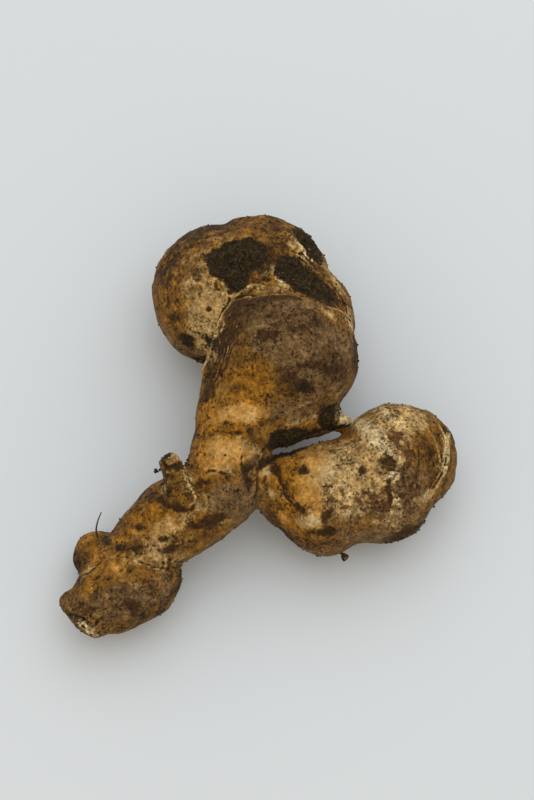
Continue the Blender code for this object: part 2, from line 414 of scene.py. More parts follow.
# Cork that wet soil has stained brown, in broad faint stains and small dark marks.
STAINED_SKIN = (
    (-36, -31.5, 4, 2, 20, 0.4),
    (-26, -29.5, 5, 2, 25, 0.35),
    (-15, -13, 2.5, 2, -60, 0.4),
    (-5, 30, 4, 2, 70, 0.5),
    (-22, 46, 6, 4, 30, 0.4),
    (-25.5, 44, 5, 2, 95, 0.45),
    (-13, 55.5, 8, 2.5, 30, 0.42),
    (5, 53.5, 3, 2, 0, 0.35),
    (-22, 53, 6, 2.5, 45, 0.5),
    (-18, 39, 3, 1.5, 20, 0.4),
    (-17.5, 44.5, 2.5, 1.5, 60, 0.4),
    (-2, 59.5, 12, 2.6, 0, 0.5),
    (9, 55, 7, 3, -40, 0.45),
    (-2, 54, 7, 2, 0, 0.4),
    (-24, 50.5, 3, 2, 70, 0.3),
    (-18, 45.5, 3, 2, 30, 0.3),
    (17, 25, 4, 3, 0, 0.35),
    (8, 12.5, 3, 1.5, 0, 0.4),
    (44, -14, 4, 3, 60, 0.4),
    (-32.5, -17, 9, 2.2, 40, 0.6),
    (-48.5, -33, 6, 2.4, 70, 0.6),
    (-40, -24.5, 5, 2, 45, 0.4),
    (27, 24.5, 9, 1.2, 95, 0.4),
    (9, 33.5, 12, 5, -5, 0.45),
    (20, 20.5, 6, 4.5, 60, 0.6),
    (-4.5, 14, 4, 3, 0, 0.5),
    (11, 20, 3, 1.5, 0, 0.35),
    (-36, -25, 4, 2, 40, 0.4),
    (-48, -44, 4, 2.5, 30, 0.3),
    (-9, 29, 9, 3, 70, 0.2),
    (51, -8, 8, 2, 70, 0.5),
    (40, -24, 8, 1.8, 28, 0.5),
    (22, -27.5, 8, 1.2, 0, 0.25),
    (6, -24, 6, 1.8, -35, 0.6),
    (-30, -46.5, 12, 2.6, 35, 0.5),
    (-53.5, -43, 4, 2.2, 70, 0.5),
    (-15, 58.5, 8, 1.5, 20, 0.7),
    (-27.5, 38.5, 6.5, 1, 95, 0.4),
    (-23.5, 34, 1.5, 1.5, 0, 0.8),
    (-20, 27.5, 2.5, 1.6, -30, 0.9),
    (-12.8, 26.5, 1.2, 3, 75, 0.9),
    (-16, 21, 3.5, 1.5, -30, 0.8),
    (-8, 40.5, 1, 0.7, 0, 1.0),
    (-13.5, 36, 1, 0.6, 30, 1.0),
    (-12, 41.5, 0.7, 0.6, 0, 0.8),
    (-4.5, 48.5, 9.5, 5, 0, 0.8),
    (12.5, 45, 9.5, 3, -30, 0.7),
    (22, 38.5, 5.5, 2, -58, 0.5),
    (18.5, 37.5, 2, 1, -30, 0.9),
    (-7.5, 32, 8, 2, 68, 0.75),
    (-10.5, 21.5, 6.5, 1.5, 72, 0.6),
    (-14, 13, 3.5, 1.5, 70, 0.7),
    (4.5, 38.5, 9.5, 1, 0, 0.8),
    (1.5, 28.5, 3, 1.5, -35, 0.9),
    (4, 29, 1, 1, 0, 0.9),
    (12.5, 30.5, 5, 2, 10, 0.3),
    (16, 20, 5, 1, -15, 0.8),
    (9, 16.5, 5.5, 3, -20, 0.8),
    (12.5, 14.5, 2, 1.5, 0, 1.0),
    (26.5, 24.5, 6, 1, 90, 0.8),
    (24, 19, 5, 1.5, 60, 0.45),
    (7, -0.5, 6, 1.2, 15, 1.0),
    (16, 3, 6, 0.6, 20, 0.7),
    (18.5, 8, 2, 3.5, 80, 1.0),
    (-18.5, 2.5, 1.5, 2, 70, 0.9),
    (-8.5, 4.5, 2.5, 1, 0, 0.6),
    (-2, 2.5, 1.5, 1.5, -40, 0.7),
    (-3, -9.5, 6, 1.5, 100, 0.65),
    (-15, -11, 2, 1, 10, 0.7),
    (-12.5, -21.5, 4, 2, 20, 0.9),
    (-17.5, -23, 3.5, 1, 0, 0.8),
    (-24, -7, 2.6, 0.8, -10, 0.9),
    (-25.2, -9.5, 0.6, 2.2, 8, 0.9),
    (-23, -10, 0.5, 1.8, 12, 0.7),
    (-25, -3.5, 1.5, 1.5, 0, 0.8),
    (-24.2, -13.5, 0.9, 1.4, 0, 0.9),
    (-23.5, -17, 5.5, 1.5, -15, 0.8),
    (-20.5, -6.5, 1, 1.5, 100, 0.9),
    (-38, -29, 1.5, 1, 0, 1.0),
    (-34, -29, 1, 2, 80, 1.0),
    (-33, -23.5, 1.5, 1, -20, 0.7),
    (-26, -26, 1.5, 1, 0, 0.7),
    (-23.5, -29, 3, 1.5, 50, 0.7),
    (-34.5, -35, 1, 1, 0, 0.8),
    (-41, -27.5, 1, 1, 90, 0.9),
    (-50, -33.5, 5.5, 1, 95, 0.7),
    (-27, -35.5, 3.5, 1.5, 0, 0.25),
    (-41, -41, 3, 2, 0, 0.35),
    (-22.5, -38.5, 4, 1.5, 70, 0.5),
    (-35, -44.5, 3.5, 2, -30, 0.7),
    (-46.5, -45, 3.5, 1, -10, 0.6),
    (-43, -37, 3, 1, -20, 0.5),
    (6.5, -11.5, 6, 1, -65, 0.6),
    (1, -6, 2, 1, 50, 0.9),
    (12.5, -8, 2, 1.5, 0, 0.9),
    (4.5, -7.5, 1.5, 1.5, 0, 0.8),
    (11, -18, 3, 1, -55, 0.85),
    (18.5, -20.5, 2.5, 2, 60, 0.9),
    (18.5, -25, 5, 1.6, 8, 0.75),
    (16, -28.5, 6, 1, 0, 0.6),
    (28, -8, 1.5, 1, 0, 0.9),
    (35, -6, 2.4, 2, 0, 0.9),
    (35, -13.5, 4, 0.8, -84, 0.8),
    (42, -1.5, 3, 3, 0, 0.15),
    (47, -3, 4, 3, 80, 0.45),
    (43, -4, 5, 3, 70, 0.25),
    (38, -12, 6, 2.5, 80, 0.3),
    (44, 1.5, 3, 1.8, -40, 0.5),
    (31, -12, 3, 2, 20, 0.35),
    (29, -19, 4, 2, 10, 0.25),
    (32.5, -8, 1.8, 1.2, 0, 0.5),
    (-2, 36, 3, 2, 0, 0.5),
    (47, -8, 4.5, 2, 80, 0.5),
    (32.5, -18, 3, 2, 20, 0.45),
    (11, -2, 12.5, 1, 20, 0.75),
    (39.5, -25, 5, 1, 25, 0.8),
    (30.5, 4.5, 3, 1.5, -30, 0.4),
    (19, -12.5, 1.5, 3, 80, 0.5),
    (51, 2.5, 1.5, 1, -50, 0.8),
)
# Broken cork that shows brown mottles through a pale film, or a pale film over brown.
FLAKY_SKIN = (
    (28, -9, 14, 12, 0, 0.4),
    (41, -4, 8, 12, 20, 0.37),
    (38, -19, 8, 7, 20, 0.4),
    (22, -19, 9, 7, 0, 0.38),
    (33, 4, 8, 5, -30, 0.22),
    (-13, 26, 6, 5, 60, 0.34),
    (-18, 47, 7, 6, 30, 0.22),
    (3, 43, 9, 3, 0, 0.3),
    (-10, -17, 9, 6, 0, 0.34),
    (-28, -29, 12, 6, 20, 0.28),
    (-38, -42, 12, 7, 20, 0.3),
    (9, 22, 15, 12, 0, 0.25),
    (-13, 13, 5, 5, 70, 0.3),
    (24, 35, 7, 3, -70, 0.35),
)
# Skin that is torn off, down to the pale flesh.
BARE_FLESH = (
    (23.5, -13, 3.5, 4, 30, 0.3),
    (3.5, 47, 2.5, 1, 10, 0.6),
    (6, 44.5, 2, 1, -50, 1.0),
    (3.5, 39.5, 5.5, 0.5, 0, 0.5),
    (15, 50.5, 2, 0.6, -25, 0.8),
    (35.8, -9.5, 1.6, 1.2, 20, 0.9),
    (28, -12, 12, 10, 0, 0.14),
    (35.5, -17.5, 4, 0.5, 88, 0.6),
    (-22.5, -4, 1.5, 0.6, -70, 0.5),
    (-15, 59, 1, 0.5, 20, 0.6),
    (23, 6, 3, 1.8, -35, 1.0),
    (-46.5, -50.5, 4, 1.5, -45, 0.7),
    (29.5, 3.5, 4, 2.2, -30, 0.5),
    (26, -7, 3, 4, 10, 0.25),
    (2, -8, 1, 1, 90, 0.7),
    (25, 32.5, 3, 0.5, -70, 0.6),
    (32.5, 0.0, 7, 2.2, -42, 0.9),
    (36, 6, 5, 1.2, -40, 0.7),
    (42, 7, 5, 2, -30, 0.3),
    (51, -3, 7, 0.8, 80, 0.8),
    (17.5, -8.5, 2.5, 4, -40, 0.6),
    (25, -20, 5, 2, 0, 0.25),
    (14, -21.5, 3, 1.5, 0, 0.6),
    (37.5, -18, 1.5, 5, 0, 0.5),
    (45, -15, 2, 1.2, 40, 0.5),
    (-11, 34, 3, 5, 60, 0.25),
    (-12.5, 30, 2, 4, 100, 0.4),
    (-13, 52, 5, 1.5, 20, 0.2),
    (14, 51, 4, 1, -40, 0.7),
    (-2.5, 7, 2, 1.5, 0, 0.4),
    (-9, -3, 3, 2, 0, 0.4),
    (-18.5, -9.5, 4, 0.8, -60, 0.4),
)
# Soil itself, in films too thin to be a crust.
SOILED_SKIN = (
    (-15, 50.5, 2, 1.5, 30, 0.6),
    (1, 51, 3, 2, 10, 0.45),
    (14, 43.5, 7, 2.2, -35, 0.5),
    (9, 48.5, 3, 1.2, -20, 0.45),
    (-10, 47, 5, 1.5, -40, 0.45),
    (-20, 27.5, 2, 1.5, -30, 0.8),
    (-13.5, 26.5, 1, 2.5, 75, 0.8),
    (12.5, 14.5, 2, 1.5, 0, 0.8),
    (6.5, -0.5, 6, 1.2, 15, 0.8),
    (15, 2.5, 7, 0.5, 20, 0.7),
    (19, 7.5, 1.2, 2.5, 80, 0.8),
    (11, -2.5, 12.5, 0.6, 20, 0.8),
    (21, 3.5, 4, 0.7, 5, 0.8),
    (18.5, -25, 4.5, 1.5, 8, 0.5),
    (-34, -29, 0.8, 1.8, 80, 0.8),
    (-38, -29, 1.2, 0.8, 0, 0.6),
    (-20.5, -6.5, 0.8, 1.5, 100, 0.7),
    (-24.2, -7, 2, 0.5, -10, 0.7),
    (-25, -4, 1.2, 0.8, 0, 0.6),
    (-26, -5, 0.8, 1, 0, 0.5),
    (-49.5, -45.5, 1.5, 0.6, -30, 0.5),
    (40, -25.5, 5, 0.8, 25, 0.6),
    (50.5, 3, 2, 0.7, -50, 0.6),
    (-21.5, -35, 2, 0.8, 80, 0.5),
)
# A patch's outline wanders, as a stain's does: lump size and reach in mm, and less so for a
# patch narrower than FREE_WIDTH. Its edge is soft over a share of its width.
WANDER = ((5.0, 1.5), (2.2, 0.9), (0.9, 0.4))
FREE_WIDTH = 3.0
SOFT_SHARE = 0.8
SOFT_MOST = 2.8
# The lumps of the cover at the back: a ragged second size, and how wide the edges are.
RAGGED_SHARE = 0.35
BACK_EDGE = 0.7

wander_right = sum(reach * clouds(points, size, 1 + size) for size, reach in WANDER)
wander_up = sum(reach * clouds(points, size, 2 + size) for size, reach in WANDER)


def within(spot, half_length, half_width, turn, wandering):
    """Each skin point's place in an ellipse on the sheet: 1 on its edge, along both halves."""
    lean = math.radians(turn)
    dx = across - spot[0] + wandering * wander_right
    dy = along - spot[1] + wandering * wander_up
    u = (dx * math.cos(lean) + dy * math.sin(lean)) / half_length
    v = (dy * math.cos(lean) - dx * math.sin(lean)) / half_width
    return u, v


def covered(patches):
    """How much each skin point is covered by the patches, from 0 to 1."""
    bare = np.ones(len(points))
    for *spot, half_length, half_width, turn, amount in patches:
        wandering = math.sqrt(min(half_width / FREE_WIDTH, 1))
        u, v = within(spot, half_length, half_width, turn, wandering)
        inside = (1 - np.hypot(u, v)) * min(half_width, half_length)
        edge = min(SOFT_MOST, SOFT_SHARE * half_width)
        bare *= 1 - amount * ease(inside, -edge, edge)
    return (1 - bare) * upper


def back_cover(size, seed, start, most):
    """Cover for the skin that the sheet doesn't reach: lumps size mm wide with ragged edges,
    that begin where the noise is over start."""
    lumps = clouds(points, size, seed) + 0.5 * clouds(points, size * RAGGED_SHARE, seed + 20)
    return most * ease(lumps, start, start + BACK_EDGE) * (1 - upper)


pale = covered(PALE_SKIN) + back_cover(size=11, seed=3, start=-0.25, most=0.8)
orange = covered(ORANGE_SKIN) + back_cover(size=9, seed=4, start=-0.2, most=0.8)
dusty = covered(DUSTY_SKIN) + back_cover(size=12, seed=5, start=-0.35, most=0.8)
stain_and_shade = covered(STAINED_SKIN) + back_cover(size=6, seed=6, start=-0.1, most=0.7)
young = covered(YOUNG_SKIN) + back_cover(size=8, seed=7, start=0.1, most=0.6)
flesh = covered(BARE_FLESH)
flaky = covered(FLAKY_SKIN) + back_cover(size=7, seed=8, start=-0.3, most=0.4)
flaky *= 1 - 0.8 * flesh

# Skin close to a crust is soiled by it: the gaps in mm at which that starts and is full.
CRUSTS = ("soil_crown", "soil_shoulder", "soil_rim", "soil_heel", "soil_clod")
HALO = (2.2, 0.6)
HALO_COVER = 0.75
soiled = covered(SOILED_SKIN)
for name in CRUSTS:
    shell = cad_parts[name].data
    shell_bvh = search_tree([corner.co / MM for corner in shell.vertices], shell)
    low, high = (np.array(corner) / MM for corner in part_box(name))
    near_box = (points > low - HALO[0]) & (points < high + HALO[0])
    close = np.flatnonzero(np.all(near_box, axis=1))
    gap = np.array([shell_bvh.find_nearest(Vector(points[i]))[3] for i in close])
    soiled[close] = np.maximum(soiled[close], HALO_COVER * ease(gap, *HALO))

# Ledges are torn skin or a lobe that overhangs its neighbour: width of the lip, height, and
# the line that the high side's foot follows, with the high side on the right of the line.
BELLY_LEFT_EDGE = ((-14.5, 14.5), (-14.5, 20), (-13, 25), (-11.5, 30), (-9.5, 35))
BELLY_TOP_EDGE = ((-6.5, 38.5), (1, 39), (7, 39), (11.5, 38.5), (16, 37))
COLLAR_EDGE = ((-35.5, -38.5), (-37.5, -37), (-40, -36), (-41.5, -37.5))
LEDGES = (
    (0.5, 0.9, (*BELLY_LEFT_EDGE, *BELLY_TOP_EDGE)),
    (0.4, 0.45, ((-34, -31.5), (-31.5, -33.5), (-27, -34.5), (-22.5, -34.5), (-20.5, -33))),
    (0.35, 0.25, ((-33.5, -43), (-33.5, -41), *COLLAR_EDGE)),
    (0.35, 0.35, ((37.5, -7), (36, -4.5), (32.5, -2.5), (30, -0.5), (28, 3))),
    (0.35, 0.3, ((36.5, -22.5), (35.5, -18.5), (36, -15), (35.5, -11.5))),
    (0.3, 0.3, ((12.5, -8.5), (15, -10.5), (16.5, -12.5), (15, -16), (12.5, -18))),
    (0.3, 0.3, ((8.5, 42.5), (5.5, 45.5), (2.5, 46.5), (-1, 47.5), (-5, 45))),
)
# Ridges and furrows: half width, height, and the line that they follow.
RIDGES = (
    (0.6, 0.7, ((-15, 16.5), (-13, 23), (-11, 29), (-8.5, 36.5), (-4.5, 41), (1, 43))),
    (0.5, 0.4, ((17, 36.5), (21, 35.5), (24.5, 33.5), (26.5, 30))),
    (0.4, 0.3, ((16, 35.5), (18.5, 34), (20, 32))),
    (0.8, 0.4, ((7.5, 57.5), (11, 53.5), (14.5, 50.5), (18, 49))),
    (0.4, 0.3, ((18, 50), (21, 45), (23.5, 39))),
    (0.8, 0.4, ((6.5, 7.5), (10.5, 9.5), (14.5, 11))),
    (0.7, 0.3, ((10, 4.5), (14, 7.5), (17, 8.5))),
    (1.1, 0.45, ((33.5, 9.5), (36, 6.5), (38.5, 3.5), (40.5, -0.5), (42, -4))),
    (0.5, 0.4, ((48.5, 5.5), (50.5, 1), (51.5, -3), (51, -7.5), (48.5, -12), (46.5, -15.5))),
    (0.4, 0.3, ((46.5, 3), (48.5, -1.5), (49, -6), (48.5, -9.5))),
    (0.4, 0.2, ((-20, 54.5), (-19, 51.5), (-18.5, 48))),
    (0.5, 0.4, ((-17.8, -13), (-17.4, -15.5), (-17, -17.5), (-16, -19.5))),
    (0.4, 0.3, ((-10.5, -12.5), (-8, -14), (-6, -15.5))),
    (0.4, 0.3, ((-14, -18.5), (-12, -18), (-10.5, -17.5), (-10.5, -20.5))),
    (0.6, 0.3, ((-21, -7), (-19.5, -10.5), (-17.5, -14.5))),
    (0.4, 0.25, ((-44, -33), (-46.5, -35), (-49.5, -37.5))),
    (0.4, 0.2, ((-33.5, -31), (-31.2, -32.7), (-27, -33.7), (-22.5, -33.7), (-20.8, -32.4))),
    (0.35, 0.3, ((10.5, -4.5), (13.5, -7), (16, -10.3), (16.6, -12.5), (14.8, -17.2), (12, -20.5))),
)
FURROWS = (
    (0.5, 0.5, ((-13.5, 15), (-12.5, 20), (-11, 24.5), (-10, 28.5), (-8.5, 32.5))),
    (0.5, 0.4, ((-11.5, 16), (-10, 20.5), (-9, 24.5), (-8, 28.5))),
    (0.45, 0.35, ((-10, 17.5), (-8.5, 22), (-7.5, 25.5))),
    (0.9, 0.4, ((-18.5, -0.5), (-14.5, 1), (-10.5, 2), (-6, 2), (-2.5, 1))),
    (0.9, 0.7, ((-5.5, -3), (-4, -7), (-3, -11), (-2, -15.5))),
    (0.7, 0.35, ((-15.5, -9), (-12.5, -8), (-9, -9), (-6, -11))),
    (0.8, 0.8, ((1, -6), (0, -9.5), (-0.5, -14), (-2.5, -17.5))),
    (0.9, 0.7, ((-27.5, -14), (-25, -17.5), (-21.5, -19), (-18, -18), (-16, -14.5))),
    (0.5, 0.4, ((-26.5, -6.5), (-24, -7.5), (-20.5, -6.5))),
    (0.5, 0.3, ((-26.5, -11), (-24, -12), (-20.5, -10.5))),
    (1.0, 0.7, ((-41, -27.5), (-42.5, -31.5), (-45, -34.5), (-48.5, -37), (-50.5, -38.5))),
    (1.0, 0.4, ((-47, -38.5), (-43, -37), (-39, -37.5), (-36.5, -40))),
    (0.4, 0.4, ((-51, -47), (-48, -48), (-45.5, -50), (-44, -52.5))),
    (0.7, 0.6, ((4, -6.5), (5.5, -10), (7, -14.5), (9.5, -17.5), (12, -19))),
    (1.2, 0.6, ((11, -26), (16, -24.5), (22, -23.5))),
    (0.7, 0.3, ((38, 10), (41.5, 4.5), (43.5, -1.5), (43, -8), (40, -14.5))),
    (0.5, 0.3, ((7, 53), (12.5, 50.5), (17, 46), (21.5, 40))),
    (0.5, 0.3, ((9, 49), (14, 47), (18, 43), (22, 37.5))),
    (0.5, 0.25, ((11, 44), (16, 42), (20, 38.5), (23.5, 33.5))),
    (0.6, 0.5, ((19.5, 3.5), (22.5, 3.5), (25.5, 5))),
    (1.2, 0.4, ((-24, 52), (-25, 47), (-25.5, 40.5), (-24.5, 35))),
)
# Combed skin, in folds side by side: half width, spacing, height, and the line they follow.
COMBS = (
    (2.6, 1.2, 0.3, ((-12.5, 13.5), (-11.5, 16), (-10, 20.5), (-9, 24.5), (-8, 28.5), (-6.5, 33))),
    (5.0, 1.9, 0.22, ((5, 52), (12, 49), (17, 44), (21.5, 38), (25, 31))),
    (2.5, 1.6, 0.25, ((48, 6), (50, 1), (50.5, -3), (50, -7.5), (47.5, -12), (45.5, -15.5))),
)
# A line is followed in steps of LINE_STEP mm, wanders by LINE_WANDER mm, and tapers over
# its last few steps.
LINE_STEP = 0.4
LINE_WANDER = 0.35
TAPER_STEPS = 8
TINY = 1e-9


def dropped(line):
    """A line on the sheet, smoothed and dropped onto the skin: its points in mm."""
    ends = [line[0], *line, line[-1]]
    found = []
    for a, b, c, d in zip(ends, ends[1:], ends[2:], ends[3:]):
        a, b, c, d = (np.array(p, float) for p in (a, b, c, d))
        steps = max(2, int(np.linalg.norm(c - b) / LINE_STEP))
        for i in range(steps):
            u = i / steps
            bend = (2 * a - 5 * b + 4 * c - d) * u**2 + (3 * b - a - 3 * c + d) * u**3
            spot = 0.5 * (2 * b + (c - a) * u + bend)
            start = Vector((spot[0], 0, 0)) + picture_up * spot[1] + to_camera * SHEET_HEIGHT
            hit = skin_bvh.ray_cast(start, -to_camera)[0]
            if hit is not None:
                found.append(hit)
    return np.array(found)


def near_line(line, reach):
    """The skin points within reach of a line, how far they are from it and to its right, and
    how full its mark is there, from 0 at its ends to 1."""
    path = dropped(line)
    low, high = path.min(0) - reach, path.max(0) + reach
    close = np.flatnonzero(np.all((points > low) & (points < high), axis=1))
    spots = points[close] + LINE_WANDER * line_wander[close]
    gaps = np.linalg.norm(spots[:, None] - path[None], axis=2)
    nearest = gaps.argmin(1)
    tangent = np.gradient(path, axis=0)[nearest]
    tangent /= np.linalg.norm(tangent, axis=1)[:, None] + TINY
    right_hand = np.cross(tangent, facing[close])
    aside = ((spots - path[nearest]) * right_hand).sum(1)
    from_end = np.minimum(nearest, len(path) - 1 - nearest)
    taper = ease(from_end, -1, min(TAPER_STEPS, len(path) / 4))
    return close, gaps.min(1), aside, taper


# How far in mm from its line a mark can reach.
LEDGE_SPAN = 7.0
NARROW_SPAN = 3.0
# A ledge's lip falls back to the skin over LIP_REACH mm. Its foot is cut in by a share of its
# height, starts and is full so many lip widths from the line, and holds soil.
LIP_REACH = 4.0
FOOT_WIDTHS = (1.5, 0.8)
FOOT_CUT = 0.4
FOOT_STAIN_MOST = 0.7
# A ridge is rubbed clean and made pale, as wear and a painted highlight, and a furrow holds
# soil, with more of it in blotches.
RIDGE_PALE_AND_HIGHLIGHT = 0.7
RIDGE_CLEAN = 0.8
FURROW_STAIN = 0.25
BLOTCH_STAIN = 0.5
line_wander = np.stack([clouds(points, 1.5, seed=21 + i) for i in range(3)], axis=1)
blotches = ease(clouds(points, 4.0, seed=43), -0.3, 0.4)
raised = np.zeros(len(points))
for width, height, line in LEDGES:
    close, gap, aside, taper = near_line(line, LEDGE_SPAN)
    fade = np.exp(-((gap / LIP_REACH) ** 2)) * taper
    raised[close] += height * fade * ease(aside, -width * 0.5, width * 0.5)
    foot = np.exp(-(((aside + width * 0.5) / width) ** 2)) * taper
    foot *= ease(gap / width, *FOOT_WIDTHS)
    raised[close] -= FOOT_CUT * height * foot
    stain_and_shade[close] = np.maximum(stain_and_shade[close], min(FOOT_STAIN_MOST, height) * foot)
for width, height, line in RIDGES:
    close, gap, _, taper = near_line(line, NARROW_SPAN)
    crest = np.exp(-((gap / width) ** 2)) * taper
    raised[close] += height * crest
    # Paler crests: worn cork and a painted highlight.
    pale[close] = np.maximum(pale[close], RIDGE_PALE_AND_HIGHLIGHT * crest)
    stain_and_shade[close] *= 1 - RIDGE_CLEAN * crest
for width, height, line in FURROWS:
    close, gap, _, taper = near_line(line, NARROW_SPAN)
    trough = np.exp(-((gap / width) ** 2)) * taper
    raised[close] -= height * trough
    stain = FURROW_STAIN + BLOTCH_STAIN * blotches[close]
    stain_and_shade[close] = np.maximum(stain_and_shade[close], stain * trough)

# Swells and dents of the flesh: right, up, half length, half width, turn and height.
SWELLS = (
    (-24, -5, 3.2, 1.6, 80, 0.5),
    (-24, -7.2, 0.9, 4, 95, -0.9),
    (-20.8, -5.5, 1.2, 2, 60, 0.5),
    (-26.8, -9.5, 2.5, 1.5, 100, -0.8),
    (-25, -1.8, 1.4, 1.0, 0, -0.5),
    (-45, -39.5, 3, 2.2, 0, 0.7),
    (-41.5, -43.5, 4, 2, -20, -0.6),
    (-51.2, -48.2, 2.6, 1.3, 25, -2.0),
    (-53.5, -43.5, 2, 2, 0, 0.5),
    (-36, -38.5, 4.5, 1.6, -25, 0.5),
    (-31, -32, 6, 3, 10, 0.5),
    (-24, -37, 4, 4, 0, 0.5),
    (-33, -18, 6, 2, 40, 0.4),
    (-21, -25, 6, 3, 25, 0.5),
    (-14.5, -19, 2.5, 4, 20, 0.6),
    (-10, -14.5, 3.5, 3, 20, 0.5),
    (17, -25, 6, 1.8, 8, -0.5),
    (12, -13.5, 3.5, 4.5, 0, 0.5),
    (25.5, -11, 2.8, 2.0, -20, -0.35),
    (35, -5.5, 3, 2.2, -30, -0.5),
    (32, -1.5, 6, 2.2, -35, 0.4),
    (30, -17, 5, 3, 0, -0.4),
    (42.5, -2, 4, 4, 0, -0.5),
    (43, -12, 4, 5, 10, 0.4),
    (15, 29, 5, 4, 0, -0.4),
    (1, 23, 5, 4, 0, 0.3),
    (10, 16, 5, 3, -20, -0.5),
    (12, 8, 5, 1.5, 25, 0.4),
    (20, 14, 3, 2, 40, 0.4),
    (19, 34.5, 3, 1.5, -35, 0.4),
    (-3, 8.5, 5, 2.5, 0, 0.5),
    (-7, -3, 6, 3, 10, 0.5),
    (-6, 3, 6, 1.2, 5, -0.4),
    (-23, 50, 3, 1.5, 60, -0.4),
    (2.5, 44.5, 3, 1.2, 0, -0.4),
    (-14, 13.5, 5, 1, 72, 0.5),
    (-28, -24, 7, 4, 30, 0.5),
    (-32, -42, 6, 4, 30, 0.7),
    (-46.5, -41, 3.5, 2.5, 0, 0.5),
    (-40, -40, 2, 5, 20, -0.4),
    (-17, -25, 2, 5, 30, -0.3),
    (27, -4, 5, 3, -30, 0.4),
    (22, -17, 3, 4, 0, 0.4),
    (38, -17, 3, 4, 0, -0.4),
)
SWELL_WANDER = 0.6
for *spot, half_length, half_width, turn, height in SWELLS:
    u, v = within(spot, half_length, half_width, turn, SWELL_WANDER)
    raised += height * np.exp(-(u**2) - v**2) * upper

# The folds waver, come and go along their length, and hold soil in their troughs.
FOLD_WAVER = 2.5
FOLD_STAIN = 0.6
comes_and_goes = ease(clouds(points, 3.0, seed=44), -0.45, 0.25)
for reach, spacing, height, line in COMBS:
    close, gap, aside, taper = near_line(line, reach + 2.0)
    wave = np.sin(math.tau * aside / spacing + FOLD_WAVER * line_wander[close, 0])
    fade = ease(gap, reach, reach * 0.5) * taper * comes_and_goes[close]
    raised[close] += height * wave * fade
    stain_and_shade[close] = np.maximum(stain_and_shade[close], FOLD_STAIN * fade * ease(-wave, 0.0, 0.9))

# Shallow dimples and the wrinkles of drying cork: size and height in mm.
RELIEF = ((7.0, 0.42), (3.5, 0.26), (1.7, 0.14), (0.9, 0.08))
for size, height in RELIEF:
    raised += height * clouds(points, size, seed=31 + size)
# The cut end has opened into pits a millimetre wide, with soil in them: its place on the
# sheet, the distances from that at which the pits start and are all there, and the levels of
# the noise at which a pit and its soil start and are full.
CUT_END = (-46.5, -50.5)
CUT_ROUND = (5.0, 2.5)
PIT_SIZE = 1.0
PIT_DEPTH, PIT_LEVELS = 0.5, (0.1, 0.35)
PIT_STAIN, PIT_SOIL_LEVELS = 0.9, (0.12, 0.3)
at_cut = ease(np.hypot(across - CUT_END[0], along - CUT_END[1]), *CUT_ROUND) * upper
pit_noise = clouds(points, PIT_SIZE, seed=41)
raised -= PIT_DEPTH * at_cut * ease(pit_noise, *PIT_LEVELS)
stain_and_shade = np.maximum(stain_and_shade, PIT_STAIN * at_cut * ease(pit_noise, *PIT_SOIL_LEVELS))

points = points + facing * raised[:, None]
points[:, 2] = np.maximum(points[:, 2], 0.0)
move_points(skin_mesh, points)

# Hollows are darkened with painted shade and with the soil that lodges there, flanks are
# darkened with painted shade and greyed with a painted reflection, and ridges and swells are
# made paler and cleaner with wear and a painted highlight. A hollow's depth and a ridge's
# height are in mm from the skin evened out over so many rounds.
NARROW_ROUNDS, BROAD_ROUNDS = 10, 60
HOLLOW_DEPTHS, BROAD_DEPTHS = (0.06, 0.3), (0.1, 0.8)
CLEAN_AND_HIGHLIGHT_HEIGHTS, PALE_AND_HIGHLIGHT_HEIGHTS = (0.08, 0.3), (0.06, 0.25)
# The upward share of the skin's facing at which a flank's painted shade and painted reflection
# start and are full.
PAINTED_FLANK_FACING = (0.5, -0.1)
hollow = ((spread(points, NARROW_ROUNDS) - points) * facing).sum(1)
broad_hollow = ((spread(points, BROAD_ROUNDS) - points) * facing).sum(1)
painted_flank_light = ease(facing[:, 2], *PAINTED_FLANK_FACING)
# Painted shade in the hollows, together with the soil that lodges there.
stain_and_shade += 0.9 * ease(hollow, *HOLLOW_DEPTHS) + 0.4 * ease(broad_hollow, *BROAD_DEPTHS)
# Painted shade on the flanks, and ridges cleaned of stain as wear and a painted highlight.
stain_and_shade += 0.05 * painted_flank_light - 0.8 * ease(-hollow, *CLEAN_AND_HIGHLIGHT_HEIGHTS)
stain_and_shade = np.clip(stain_and_shade, 0, 1)
# A greyer painted reflection on the flanks.
dusty += 0.85 * painted_flank_light
# Paler ridges and swells: worn cork and a painted highlight.
pale += 0.5 * ease(-hollow, *PALE_AND_HIGHLIGHT_HEIGHTS)

covers = {"pale": pale, "orange": orange, "young": young, "dusty": dusty}
covers |= {"stain_and_shade": stain_and_shade, "flesh": flesh, "flaky": flaky, "soiled": soiled}
for name, cover in covers.items():
    layer = skin_mesh.attributes.new(name, "FLOAT", "POINT")
    layer.data.foreach_set("value", np.clip(cover, 0, 1).astype(np.float32))
skin_mesh.shade_smooth()
tuber_skin = placed("tuber_skin", skin_mesh)

# Corky tuber skin, grown: dull and dry with hardly any gloss, and dust on it that catches a
# little light at its edges. It is mottled in lumps of 1 to 7 mm, shines softly only where it
# is orange and thin, and has pores under a millimetre wide.

# Sizes are in mm. The helpers add to the finish that is being made: to its tree, by way of
# in_mm, the place on the piece in millimetres.
MOTTLE_ROUGHNESS = 0.62
LAYER_ROUGHNESS = 0.72
TONE_SIZE = 1.1
PORE_FLOCK, PORE_THINNING, PORE_CALM, PORE_EDGE = 7.0, 0.5, 0.25, 0.15
FLECK_FLOCK, FLECK_GATHER, FLECK_CALM, FLECK_EDGE = 6.0, 0.55, 0.4, 0.2
# The share of the light and dark lumps that is left on the calmest skin.
CALM_LEFT = 0.35


